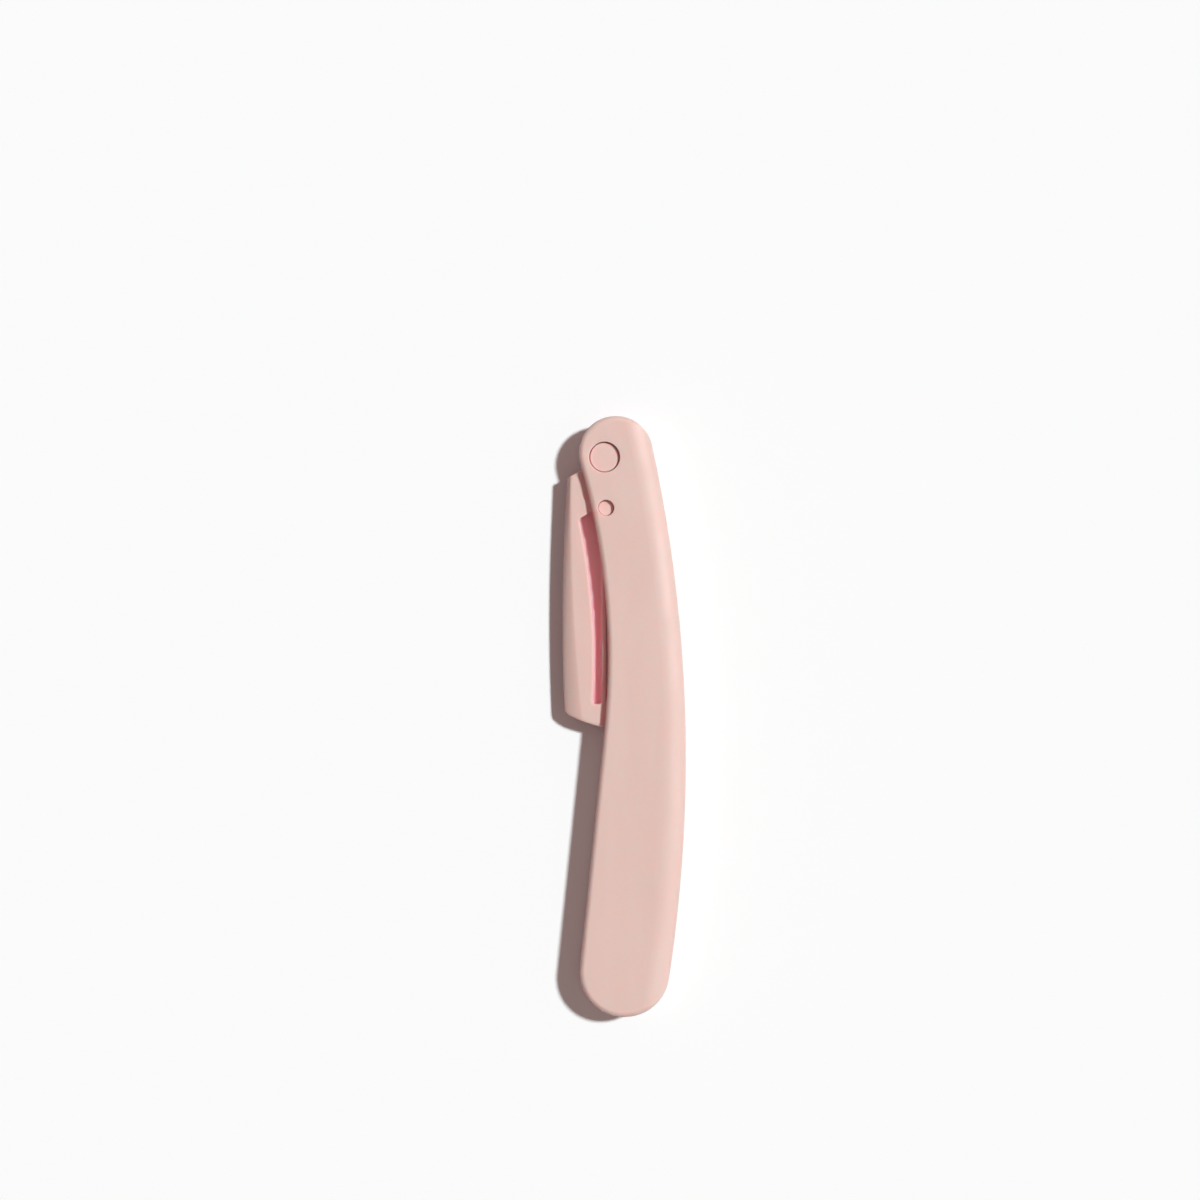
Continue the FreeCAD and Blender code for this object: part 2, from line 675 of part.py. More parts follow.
def main():
    """Build every sub-part and write it to its own file."""
    os.makedirs("parts", exist_ok=True)
    half = half_shell()
    parts = {
        "front_shell": front_shell(half),
        "rear_shell": rear_shell(half),
        "pivot_pin": pivot_pin(),
        "pivot_cap": pivot_cap(),
        "stop_pin": stop_pin(),
        "blade_carrier": blade_carrier(),
        "blade": blade(),
        "blade_retainer": blade_retainer(),
        "comb_guard": comb_guard(),
    }
    for name, shape in parts.items():
        shape.exportStep("parts/" + name + ".step")


main()
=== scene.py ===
"""Finishes and stage for the folding eyebrow razor.

The mouldings, the pins and the blade keep their solids and get their finishes here, and the mouldings get
shade painted into their pigment where they are sheltered. The comb guard is modelled again with rounded
teeth. Metres, in the razor's own frame: +X points to the handle's back, +Y along the handle to its round
head end and +Z to the front.
"""
import math

import bmesh
import bpy
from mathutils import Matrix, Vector


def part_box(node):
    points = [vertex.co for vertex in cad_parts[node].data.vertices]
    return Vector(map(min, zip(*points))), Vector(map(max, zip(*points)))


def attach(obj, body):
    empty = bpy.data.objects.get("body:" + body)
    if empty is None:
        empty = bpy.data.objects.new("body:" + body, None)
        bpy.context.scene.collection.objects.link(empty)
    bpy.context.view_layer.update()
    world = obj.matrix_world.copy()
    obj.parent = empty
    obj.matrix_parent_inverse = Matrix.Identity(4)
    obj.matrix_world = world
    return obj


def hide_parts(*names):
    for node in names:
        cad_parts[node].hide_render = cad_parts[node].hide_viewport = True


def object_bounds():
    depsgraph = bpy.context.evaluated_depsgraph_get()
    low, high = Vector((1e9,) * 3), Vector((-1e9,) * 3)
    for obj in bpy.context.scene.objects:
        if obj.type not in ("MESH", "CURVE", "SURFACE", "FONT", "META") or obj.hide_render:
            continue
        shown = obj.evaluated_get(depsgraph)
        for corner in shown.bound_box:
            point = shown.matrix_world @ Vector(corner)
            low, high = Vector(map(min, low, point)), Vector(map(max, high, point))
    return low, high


bl_info = {
    "name": "Eyebrow razor finish",
    "version": (1, 0, 0),
    "blender": (4, 5, 0),
    "location": "View3D > Sidebar > Razor",
    "description": "Finishes the razor's mouldings and blade, models its comb guard and sets its stage",
    "category": "Object",
}

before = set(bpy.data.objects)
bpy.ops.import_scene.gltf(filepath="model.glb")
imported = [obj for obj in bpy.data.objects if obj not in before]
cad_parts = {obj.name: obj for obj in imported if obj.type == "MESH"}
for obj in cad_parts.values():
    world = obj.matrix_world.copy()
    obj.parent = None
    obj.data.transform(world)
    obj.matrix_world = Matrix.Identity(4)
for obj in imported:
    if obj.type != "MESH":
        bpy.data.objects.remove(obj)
CAD_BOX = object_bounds()
MM = 0.001


def from_screen(red, green, blue):
    """Return the linear colour of a screen colour given in steps of 0 to 255."""
    linear = []
    for step in (red, green, blue):
        value = step / 255
        linear.append(value / 12.92 if value <= 0.04045 else ((value + 0.055) / 1.055) ** 2.4)
    return tuple(linear)


def colour_property(name, description, screen):
    """Return a colour property whose default is a screen colour."""
    return bpy.props.FloatVectorProperty(
        name=name, description=description, subtype="COLOR", size=3, min=0, max=1,
        default=from_screen(*screen))


def length_property(name, description, millimetres):
    """Return a length property whose default is given in millimetres."""
    return bpy.props.FloatProperty(
        name=name, description=description, subtype="DISTANCE", unit="LENGTH", precision=5,
        min=0, default=millimetres * MM)


def angle_property(name, description, degrees):
    """Return an angle property whose default is given in degrees."""
    return bpy.props.FloatProperty(
        name=name, description=description, subtype="ANGLE", unit="ROTATION",
        default=math.radians(degrees))


def share_property(name, description, share):
    """Return a property that runs from 0 to 1."""
    return bpy.props.FloatProperty(
        name=name, description=description, subtype="FACTOR", min=0, max=1, default=share)


class RazorFinish(bpy.types.PropertyGroup):
    """Colours and gloss of the razor's mouldings and blade, and the deep rose of the shade painted into the
    mouldings.
    """

    handle_pigment: colour_property("Handle", "Pale pink of the two handle shells", (230, 199, 190))
    head_pigment: colour_property("Head", "Pale pink of the blade carrier and retainer", (229, 197, 188))
    pin_pigment: colour_property("Pins", "Pale pink of the pivot pin, cap and stop pin", (231, 200, 191))
    guard_pigment: colour_property("Guard", "Paler pink of the comb guard", (236, 213, 205))
    # Painted shade: this deep rose is mixed into a moulding's pigment where it is sheltered from the light
    painted_shade_pigment: colour_property("Soaked light", "Deep rose painted where a moulding is sheltered", (243, 183, 189))
    steel: colour_property("Steel", "Ground steel of the blade", (206, 208, 211))
    gloss: share_property("Roughness", "Roughness of a freshly moulded face", 0.5)
    flow: share_property("Flow marks", "How strongly the pigment drifts along the moulding", 0.35)
    edge_reach: length_property("Edge width", "Width of the polished line along an edge", 0.22)
    edge_rounding: length_property("Edge rounding", "Width over which an edge is softened", 0.06)
    spine_rounding: length_property("Spine rounding", "Width over which the head's edges are softened", 0.6)


class RazorGuard(bpy.types.PropertyGroup):
    """Sizes of the comb guard's teeth and rails."""

    tooth_pitch: length_property("Tooth pitch", "Step from one tooth to the next", 0.95)
    tooth_width: length_property("Tooth width", "Width of one tooth along the edge", 0.40)
    rail_width: length_property("Rail width", "Width of the rail that carries the teeth", 0.60)
    nose_length: length_property("Nose length", "Length of a tooth in front of the blade's edge", 0.38)
    nose_thickness: length_property("Nose thickness", "Thickness of a tooth at its nose", 0.90)
    slit: length_property("Slit", "Opening between the front and rear fingers for the blade", 0.29)
    edge_round: length_property("Edge rounding", "Rounding of the teeth's and rails' edges", 0.07)


class RazorStage(bpy.types.PropertyGroup):
    """Lamp, fill, floor and camera."""

    key_level: bpy.props.FloatProperty(
        name="Key level", description="Level of the key lamp on a face turned to it", min=0, default=0.971)
    key_tint: colour_property("Key tint", "Colour of the key lamp", (244, 254, 255))
    fill_level: bpy.props.FloatProperty(
        name="Fill level", description="Level of the even light from all round", min=0, default=0.24)
    fill_tint: colour_property("Fill tint", "Colour of the even light from all round", (255, 222, 217))
    under_level: bpy.props.FloatProperty(
        name="Under level", description="Level of the light that reaches a face resting on the floor",
        min=0, default=0.8)
    key_heading: angle_property("Key heading", "Heading of the key lamp from +X towards +Y", 24)
    key_height: angle_property("Key height", "Height of the key lamp above the floor", 55)
    key_softness: angle_property("Key softness", "Apparent width of the key lamp", 5)
    floor_bounce: share_property("Floor bounce", "Share of light that the floor gives back", 0.4)
    lens: bpy.props.FloatProperty(
        name="Lens", description="Focal length of the camera", subtype="DISTANCE_CAMERA", unit="CAMERA",
        min=10, default=85)
    camera_x: bpy.props.FloatProperty(
        name="Camera across", description="Place of the camera across the razor", subtype="DISTANCE",
        unit="LENGTH", default=-0.85 * MM)
    camera_y: bpy.props.FloatProperty(
        name="Camera along", description="Place of the camera along the razor", subtype="DISTANCE",
        unit="LENGTH", default=-26.98 * MM)
    camera_rise: length_property("Camera height", "Height of the camera above the front face", 534.6)


def add_node(tree, kind, column, row, **settings):
    """Add a node at a column and row of the tree's layout and set its named values."""
    made = tree.nodes.new(kind)
    made.location = (column * 200, row * -180)
    for name, value in settings.items():
        setattr(made, name, value)
    return made


def link(tree, source, target):
    """Link an output socket to an input socket."""
    tree.links.new(source, target)


def new_group(name, inputs, outputs):
    """Start a shader node group with named sockets and return its tree and its two end nodes."""
    tree = bpy.data.node_groups.new(name, "ShaderNodeTree")
    for label, kind, default in inputs:
        socket = tree.interface.new_socket(name=label, in_out="INPUT", socket_type=kind)
        if default is not None:
            socket.default_value = default
    for label, kind in outputs:
        tree.interface.new_socket(name=label, in_out="OUTPUT", socket_type=kind)
    start = add_node(tree, "NodeGroupInput", 0, 0)
    end = add_node(tree, "NodeGroupOutput", 9, 0)
    return tree, start, end


def noise(tree, column, row, place, scale, detail):
    """Add a noise texture on a place vector."""
    made = add_node(tree, "ShaderNodeTexNoise", column, row)
    made.inputs["Scale"].default_value = scale
    made.inputs["Detail"].default_value = detail
    link(tree, place, made.inputs["Vector"])
    return made


def span(tree, column, row, value, low, high, start=0.0, stop=1.0):
    """Add a smooth range from two limits of a value to two results."""
    made = add_node(tree, "ShaderNodeMapRange", column, row, interpolation_type="SMOOTHSTEP")
    made.inputs["From Min"].default_value = low
    made.inputs["From Max"].default_value = high
    made.inputs["To Min"].default_value = start
    made.inputs["To Max"].default_value = stop
    link(tree, value, made.inputs["Value"])
    return made.outputs["Result"]


def maths(tree, column, row, operation, first, second):
    """Add a calculation on a socket and a socket or number."""
    made = add_node(tree, "ShaderNodeMath", column, row, operation=operation)
    for index, value in enumerate((first, second)):
        if isinstance(value, (int, float)):
            made.inputs[index].default_value = value
        else:
            link(tree, value, made.inputs[index])
    return made.outputs["Value"]


def mix_colour(tree, column, row, share, first, second, blend="MIX"):
    """Add a colour mix by a share between two sockets or colours."""
    made = add_node(tree, "ShaderNodeMix", column, row, data_type="RGBA", blend_type=blend)
    for index, value in ((0, share), (6, first), (7, second)):
        if isinstance(value, (int, float)):
            made.inputs[index].default_value = value
        elif isinstance(value, tuple):
            made.inputs[index].default_value = (*value, 1)
        else:
            link(tree, value, made.inputs[index])
    return made.outputs[2]


def moulded_skin():
    """Return the group for a moulded face: pigment drift, gloss and fine grain."""
    name = "moulded_skin"
    if name in bpy.data.node_groups:
        return bpy.data.node_groups[name]
    tree, start, end = new_group(name, [
        ("Place", "NodeSocketVector", None),
        ("Pigment", "NodeSocketColor", None),
        ("Drift Pigment", "NodeSocketColor", None),
        ("Drift", "NodeSocketFloat", 0.35),
        ("Gloss", "NodeSocketFloat", 0.36),
    ], [
        ("Colour", "NodeSocketColor"),
        ("Roughness", "NodeSocketFloat"),
        ("Height", "NodeSocketFloat"),
    ])
    place = start.outputs["Place"]

    # Long soft streaks where the melt ran along the mould
    stretched = add_node(tree, "ShaderNodeMapping", 1, 0)
    stretched.inputs["Scale"].default_value = (1.0, 0.24, 1.0)
    link(tree, place, stretched.inputs["Vector"])
    streaks = noise(tree, 2, 0, stretched.outputs["Vector"], 170, 4)
    streaks.inputs["Distortion"].default_value = 0.5
    drift = span(tree, 3, 0, streaks.outputs["Fac"], 0.36, 0.66)
    drift = maths(tree, 4, 0, "MULTIPLY", drift, start.outputs["Drift"])
    colour = mix_colour(tree, 5, 0, drift, start.outputs["Pigment"], start.outputs["Drift Pigment"])

    # Pin-point specks of pigment
    specks = noise(tree, 2, 1, place, 3200, 2)
    specks = span(tree, 3, 1, specks.outputs["Fac"], 0.58, 0.74, 0.0, 0.05)
    colour = mix_colour(tree, 6, 0, specks, colour, (1.0, 0.94, 0.92))
    link(tree, colour, end.inputs["Colour"])

    # Gloss that changes over a finger's width
    cloud = noise(tree, 2, 2, place, 120, 3)
    cloud = span(tree, 3, 2, cloud.outputs["Fac"], 0.3, 0.7, -0.045, 0.05)
    roughness = maths(tree, 5, 2, "ADD", cloud, start.outputs["Gloss"])
    link(tree, roughness, end.inputs["Roughness"])

    # Fine grain of the mould over a slight waviness of the face
    grain = noise(tree, 2, 3, place, 5200, 3)
    waves = noise(tree, 2, 4, place, 85, 1)
    grain = maths(tree, 4, 3, "MULTIPLY", grain.outputs["Fac"], 0.12)
    waves = maths(tree, 4, 4, "MULTIPLY", waves.outputs["Fac"], 1.6)
    height = maths(tree, 5, 3, "ADD", grain, waves)
    link(tree, height, end.inputs["Height"])
    return tree


def worn_edges():
    """Return the group that finds outer edges and gives them a rounded normal."""
    name = "worn_edges"
    if name in bpy.data.node_groups:
        return bpy.data.node_groups[name]
    tree, start, end = new_group(name, [
        ("Place", "NodeSocketVector", None),
        ("Reach", "NodeSocketFloat", 0.22 * MM),
        ("Rounding", "NodeSocketFloat", 0.06 * MM),
    ], [
        ("Mask", "NodeSocketFloat"),
        ("Normal", "NodeSocketVector"),
    ])
    wide = add_node(tree, "ShaderNodeBevel", 2, 0, samples=6)
    link(tree, start.outputs["Reach"], wide.inputs["Radius"])
    face = add_node(tree, "ShaderNodeNewGeometry", 2, 1)
    agree = add_node(tree, "ShaderNodeVectorMath", 3, 0, operation="DOT_PRODUCT")
    link(tree, wide.outputs["Normal"], agree.inputs[0])
    link(tree, face.outputs["Normal"], agree.inputs[1])
    turn = span(tree, 4, 0, agree.outputs["Value"], 0.995, 0.86)

    # Hollow corners are left out: only edges that hands reach are rubbed
    hollow = add_node(tree, "ShaderNodeAmbientOcclusion", 3, 1, samples=6, only_local=True)
    hollow.inputs["Distance"].default_value = 0.8 * MM
    outer = span(tree, 4, 1, hollow.outputs["AO"], 0.72, 0.94)
    mask = maths(tree, 5, 0, "MULTIPLY", turn, outer)
    patchy = noise(tree, 3, 2, start.outputs["Place"], 420, 3)
    patchy = span(tree, 4, 2, patchy.outputs["Fac"], 0.3, 0.62, 0.35, 1.0)
    mask = maths(tree, 6, 0, "MULTIPLY", mask, patchy)
    link(tree, mask, end.inputs["Mask"])

    narrow = add_node(tree, "ShaderNodeBevel", 2, 3, samples=6)
    link(tree, start.outputs["Rounding"], narrow.inputs["Radius"])
    link(tree, narrow.outputs["Normal"], end.inputs["Normal"])
    return tree


def hairline_scuffs():
    """Return the group for faint hairlines that come from handling."""
    name = "hairline_scuffs"
    if name in bpy.data.node_groups:
        return bpy.data.node_groups[name]
    tree, start, end = new_group(name, [
        ("Place", "NodeSocketVector", None),
        ("Amount", "NodeSocketFloat", 0.5),
    ], [
        ("Mask", "NodeSocketFloat"),
    ])
    strokes = []
    for row, (turn, stretch) in enumerate(((0.35, (2600, 70, 900)), (-0.9, (2300, 90, 900)))):
        laid = add_node(tree, "ShaderNodeMapping", 1, row)
        laid.inputs["Rotation"].default_value = (0, 0, turn)
        laid.inputs["Scale"].default_value = stretch
        link(tree, start.outputs["Place"], laid.inputs["Vector"])
        lines = noise(tree, 2, row, laid.outputs["Vector"], 1, 2)
        strokes.append(span(tree, 3, row, lines.outputs["Fac"], 0.66, 0.74))
    both = maths(tree, 4, 0, "MAXIMUM", strokes[0], strokes[1])
    where = noise(tree, 2, 2, start.outputs["Place"], 160, 2)
    where = span(tree, 3, 2, where.outputs["Fac"], 0.48, 0.66)
    mask = maths(tree, 5, 0, "MULTIPLY", both, where)
    mask = maths(tree, 6, 0, "MULTIPLY", mask, start.outputs["Amount"])
    link(tree, mask, end.inputs["Mask"])
    return tree


def soaked_light():
    """Return the group that paints shade: it deepens the pigment where a moulding is sheltered from the
    light by its own walls, by other parts or by the floor.
    """
    name = "soaked_light"
    if name in bpy.data.node_groups:
        return bpy.data.node_groups[name]
    tree, start, end = new_group(name, [
        ("Colour", "NodeSocketColor", None),
        ("Deep", "NodeSocketColor", None),
        ("Amount", "NodeSocketFloat", 0.6),
        ("Shelter", "NodeSocketFloat", 6.0 * MM),
    ], [
        ("Colour", "NodeSocketColor"),
    ])
    # Painted shade: the less open space a point sees within the shelter distance, the deeper its pigment
    shelter = add_node(tree, "ShaderNodeAmbientOcclusion", 1, 0, samples=8)
    link(tree, start.outputs["Shelter"], shelter.inputs["Distance"])
    depth = span(tree, 2, 0, shelter.outputs["AO"], 0.92, 0.3)
    depth = maths(tree, 3, 0, "MULTIPLY", depth, start.outputs["Amount"])
    colour = mix_colour(tree, 4, 0, depth, start.outputs["Colour"], start.outputs["Deep"])
    link(tree, colour, end.inputs["Colour"])
    return tree


def use_group(tree, group, column, row, **values):
    """Place a node group in a tree and set the inputs that are named."""
    made = add_node(tree, "ShaderNodeGroup", column, row, node_tree=group)
    for label, value in values.items():
        made.inputs[label.replace("_", " ")].default_value = value
    return made


def new_material(name):
    """Start a node material and return it with its tree, its shader and its object coordinates."""
    material = bpy.data.materials.new(name)
    material.use_nodes = True
    tree = material.node_tree
    tree.nodes.clear()
    shader = add_node(tree, "ShaderNodeBsdfPrincipled", 7, 0)
    result = add_node(tree, "ShaderNodeOutputMaterial", 9, 0)
    link(tree, shader.outputs["BSDF"], result.inputs["Surface"])
    place = add_node(tree, "ShaderNodeTexCoord", 0, 0).outputs["Object"]
    return material, tree, shader, place


def lighter(pigment, share):
    """Return a pigment moved a share of the way to white."""
    return tuple(part + (1 - part) * share for part in pigment)


def moulding(name, pigment, finish, scuffs, soak, shelter, reach, rounding):
    """Return the plastic of a moulding.

    Scuffs is the share of the hairlines; the painted shade share is how strongly shade is painted into the
    pigment where the moulding is sheltered. Shelter is how far off a wall still shades a face, reach is how
    far light travels inside the plastic, and rounding is how far its edges are softened.
    """
    material, tree, shader, place = new_material(name)
    skin = use_group(
        tree, moulded_skin(), 2, 0, Pigment=(*pigment, 1), Drift_Pigment=(*lighter(pigment, 0.12), 1),
        Drift=finish.flow, Gloss=finish.gloss)
    edges = use_group(tree, worn_edges(), 2, 1, Reach=finish.edge_reach, Rounding=rounding)
    marks = use_group(tree, hairline_scuffs(), 2, 2, Amount=scuffs)
    for group in (skin, edges, marks):
        link(tree, place, group.inputs["Place"])

    # Pigment: painted shade deepens it where the moulding is sheltered; paler along rubbed edges
    inside = use_group(
        tree, soaked_light(), 4, 0, Deep=(*finish.painted_shade_pigment, 1), Amount=soak, Shelter=shelter)
    link(tree, skin.outputs["Colour"], inside.inputs["Colour"])
    pale = maths(tree, 4, 1, "MULTIPLY", edges.outputs["Mask"], 0.22)
    colour = mix_colour(tree, 5, 0, pale, inside.outputs["Colour"], (1.0, 0.93, 0.9))
    link(tree, colour, shader.inputs["Base Color"])

    # Gloss: edges are polished, hairlines are dull
    polished = maths(tree, 4, 2, "MULTIPLY", edges.outputs["Mask"], -0.1)
    roughness = maths(tree, 5, 2, "ADD", skin.outputs["Roughness"], polished)
    dulled = maths(tree, 4, 3, "MULTIPLY", marks.outputs["Mask"], 0.18)
    roughness = maths(tree, 6, 2, "ADD", roughness, dulled)
    link(tree, roughness, shader.inputs["Roughness"])

    # Relief: grain and waviness less the hairlines, over softened edges
    cut = maths(tree, 4, 4, "MULTIPLY", marks.outputs["Mask"], 0.25)
    height = maths(tree, 5, 4, "SUBTRACT", skin.outputs["Height"], cut)
    relief = add_node(tree, "ShaderNodeBump", 6, 4)
    relief.inputs["Strength"].default_value = 1.0
    relief.inputs["Distance"].default_value = 0.02 * MM
    link(tree, height, relief.inputs["Height"])
    link(tree, edges.outputs["Normal"], relief.inputs["Normal"])
    link(tree, relief.outputs["Normal"], shader.inputs["Normal"])

    shader.inputs["IOR"].default_value = 1.46
    shader.inputs["Subsurface Weight"].default_value = 1.0
    shader.inputs["Subsurface Radius"].default_value = (1.0, 0.24, 0.22)
    shader.inputs["Subsurface Scale"].default_value = reach
    return material


def ground_steel(name, finish):
    """Return the blade's steel: rolled along the strip and ground across its bevels."""
    material, tree, shader, place = new_material(name)
    low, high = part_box("blade")
    axes = add_node(tree, "ShaderNodeSeparateXYZ", 1, 0)
    link(tree, place, axes.inputs["Vector"])
    bevel = span(tree, 2, 0, axes.outputs["X"], high.x - 0.95 * MM, high.x - 0.86 * MM)

    rolled_place = add_node(tree, "ShaderNodeMapping", 1, 1)
    rolled_place.inputs["Scale"].default_value = (16000, 260, 16000)
    link(tree, place, rolled_place.inputs["Vector"])
    rolled = noise(tree, 2, 1, rolled_place.outputs["Vector"], 1, 3)
    ground_place = add_node(tree, "ShaderNodeMapping", 1, 2)
    ground_place.inputs["Scale"].default_value = (500, 21000, 500)
    link(tree, place, ground_place.inputs["Vector"])
    ground = noise(tree, 2, 2, ground_place.outputs["Vector"], 1, 3)
    lines = add_node(tree, "ShaderNodeMix", 3, 1, data_type="FLOAT")
    link(tree, bevel, lines.inputs[0])
    link(tree, rolled.outputs["Fac"], lines.inputs[2])
    link(tree, ground.outputs["Fac"], lines.inputs[3])

    stain = noise(tree, 2, 3, place, 240, 3)
    stain = span(tree, 3, 3, stain.outputs["Fac"], 0.45, 0.75, 0.0, 0.3)
    dark = tuple(0.72 * part for part in finish.steel)
    colour = mix_colour(tree, 4, 0, stain, tuple(finish.steel), dark)
    colour = mix_colour(tree, 5, 0, maths(tree, 4, 1, "MULTIPLY", bevel, 0.45), colour, (0.86, 0.87, 0.88))
    link(tree, colour, shader.inputs["Base Color"])
    roughness = span(tree, 4, 2, lines.outputs[0], 0.25, 0.75, 0.2, 0.36)
    link(tree, roughness, shader.inputs["Roughness"])
    relief = add_node(tree, "ShaderNodeBump", 6, 2)
    relief.inputs["Strength"].default_value = 0.6
    relief.inputs["Distance"].default_value = 0.004 * MM
    link(tree, lines.outputs[0], relief.inputs["Height"])
    link(tree, relief.outputs["Normal"], shader.inputs["Normal"])
    shader.inputs["Metallic"].default_value = 1.0
    return material


def give_finish(node, material):
    """Give one of the razor's solids its finish."""
    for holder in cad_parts[node].material_slots:
        holder.material = material


class RAZOR_OT_handle_shells(bpy.types.Operator):
    """Finish the two handle shells"""

    bl_idname = "razor.handle_shells"
    bl_label = "Handle shells"

    def execute(self, context):
        finish = context.scene.razor_finish
        pigment = tuple(finish.handle_pigment)
        plastic = moulding(
            "handle_moulding", pigment, finish, scuffs=0.6, soak=0.9, shelter=6 * MM, reach=1.8 * MM,
            rounding=finish.edge_rounding)
        for node in ("front_shell", "rear_shell"):
            give_finish(node, plastic)
        return {"FINISHED"}


class RAZOR_OT_pins(bpy.types.Operator):
    """Finish the pivot pin, its cap and the stop pin"""

    bl_idname = "razor.pins"
    bl_label = "Pins"

    def execute(self, context):
        finish = context.scene.razor_finish
        pigment = tuple(finish.pin_pigment)
        plastic = moulding(
            "pin_moulding", pigment, finish, scuffs=0.4, soak=0.15, shelter=6 * MM, reach=0.5 * MM,
            rounding=finish.edge_rounding)
        for node in ("pivot_pin", "pivot_cap", "stop_pin"):
            give_finish(node, plastic)
        return {"FINISHED"}


class RAZOR_OT_head_mouldings(bpy.types.Operator):
    """Finish the blade carrier and its retainer"""

    bl_idname = "razor.head_mouldings"
    bl_label = "Head mouldings"

    def execute(self, context):
        finish = context.scene.razor_finish
        pigment = tuple(finish.head_pigment)
        plastic = moulding(
            "head_moulding", pigment, finish, scuffs=0.5, soak=1.0, shelter=14 * MM, reach=1.2 * MM,
            rounding=finish.spine_rounding)
        for node in ("blade_carrier", "blade_retainer"):
            give_finish(node, plastic)
        return {"FINISHED"}


class RAZOR_OT_blade(bpy.types.Operator):
    """Finish the steel blade"""

    bl_idname = "razor.blade"
    bl_label = "Blade"

    def execute(self, context):
        give_finish("blade", ground_steel("ground_blade", context.scene.razor_finish))
        return {"FINISHED"}


def start_block(name, low, high):
    """Start a piece as a block between two corners, with its place in its mesh."""
    bpy.ops.object.select_all(action="DESELECT")
    bpy.ops.mesh.primitive_cube_add(size=1, location=(low + high) / 2, scale=high - low)
    piece = bpy.context.object
    piece.name = name
    bpy.ops.object.transform_apply(location=True, rotation=True, scale=True)
    return piece


def pick(piece, kind, test):
    """Select only the vertices, edges or faces of the piece being edited that pass a test."""
    modes = {"verts": "VERT", "edges": "EDGE", "faces": "FACE"}
    bpy.ops.mesh.select_mode(type=modes[kind])
    bpy.ops.mesh.select_all(action="DESELECT")
    mesh = bmesh.from_edit_mesh(piece.data)
    found = [part for part in getattr(mesh, kind) if test(part)]
    for part in found:
        part.select = True
    mesh.select_flush_mode()
    bmesh.update_edit_mesh(piece.data)
    if not found:
        raise RuntimeError("nothing to select on " + piece.name)


def middle_of(edge):
    """Return the middle of an edge."""
    return (edge.verts[0].co + edge.verts[1].co) / 2


def round_edges(piece, width):
    """Round all the sharp edges of the piece being edited."""
    pick(piece, "edges", lambda edge: edge.calc_face_angle(0) > math.radians(30))
    bpy.ops.mesh.bevel(offset=width, segments=3, profile=0.5, affect="EDGES", clamp_overlap=True)


def guard_half(x, low, high, guard):
    """Return half the guard's thickness at a place across, from its rails to its nose."""
    base = (high.z - low.z) / 2
    share = (x - low.x) / (high.x - low.x)
    return base + share * (guard.nose_thickness / 2 - base)


def guard_tooth(low, high, guard):
    """Model one tooth: two fingers that straddle the blade and meet in front of its edge."""
    middle = (low.z + high.z) / 2
    root = low.x + 0.8 * guard.rail_width
    half = guard_half(root, low, high, guard)
    foot = low.y
    tooth = start_block(
        "comb_guard_moulding", Vector((root, foot, middle - half)),
        Vector((high.x, foot + guard.tooth_width, middle + half)))
    bpy.ops.object.mode_set(mode="EDIT")

    # Thin the block towards its nose
    pick(tooth, "verts", lambda vert: vert.co.x > high.x - 0.01 * MM)
    bpy.ops.transform.resize(
        value=(1, 1, guard.nose_thickness / 2 / half), center_override=(high.x, foot, middle))

    # Open the slit for the blade from the root to behind the nose
    slit_end = high.x - guard.nose_length
    for spot, normal in (
        ((0, 0, middle + guard.slit / 2), (0, 0, 1)),
        ((0, 0, middle - guard.slit / 2), (0, 0, 1)),
        ((slit_end, 0, 0), (1, 0, 0)),
    ):
        bpy.ops.mesh.select_all(action="SELECT")
        bpy.ops.mesh.bisect(plane_co=spot, plane_no=normal, threshold=1e-7)

    def in_slit(face):
        centre = face.calc_center_median()
        return abs(centre.z - middle) < guard.slit * 0.45 and centre.x < slit_end

    pick(tooth, "faces", in_slit)
    bpy.ops.mesh.delete(type="FACE")
    pick(tooth, "edges", lambda edge: edge.is_boundary and middle_of(edge).x > root + 0.01 * MM)
    bpy.ops.mesh.bridge_edge_loops()
    bpy.ops.mesh.select_all(action="SELECT")
    bpy.ops.mesh.normals_make_consistent(inside=False)
    round_edges(tooth, guard.edge_round)
    bpy.ops.object.mode_set(mode="OBJECT")
    return tooth


def guard_rails(low, high, guard):
    """Model the front rail and its mirror copy at the rear."""
    middle = (low.z + high.z) / 2
    inner = low.x + guard.rail_width
    front = start_block(
        "front_rail", Vector((low.x, low.y, middle + guard.slit / 2)), Vector((inner, high.y, high.z)))
    bpy.ops.object.mode_set(mode="EDIT")
    pick(front, "verts", lambda vert: vert.co.x > inner - 0.01 * MM and vert.co.z > high.z - 0.01 * MM)
    bpy.ops.transform.translate(value=(0, 0, middle + guard_half(inner, low, high, guard) - high.z))
    round_edges(front, guard.edge_round)
    bpy.ops.object.mode_set(mode="OBJECT")
    bpy.ops.object.select_all(action="DESELECT")
    front.select_set(True)
    bpy.context.view_layer.objects.active = front
    bpy.ops.object.duplicate()
    rear = bpy.context.object
    bpy.ops.object.mode_set(mode="EDIT")
    bpy.ops.mesh.select_all(action="SELECT")
    bpy.ops.transform.resize(value=(1, 1, -1), center_override=(low.x, low.y, middle))
    bpy.ops.mesh.normals_make_consistent(inside=False)
    bpy.ops.object.mode_set(mode="OBJECT")
    return front, rear


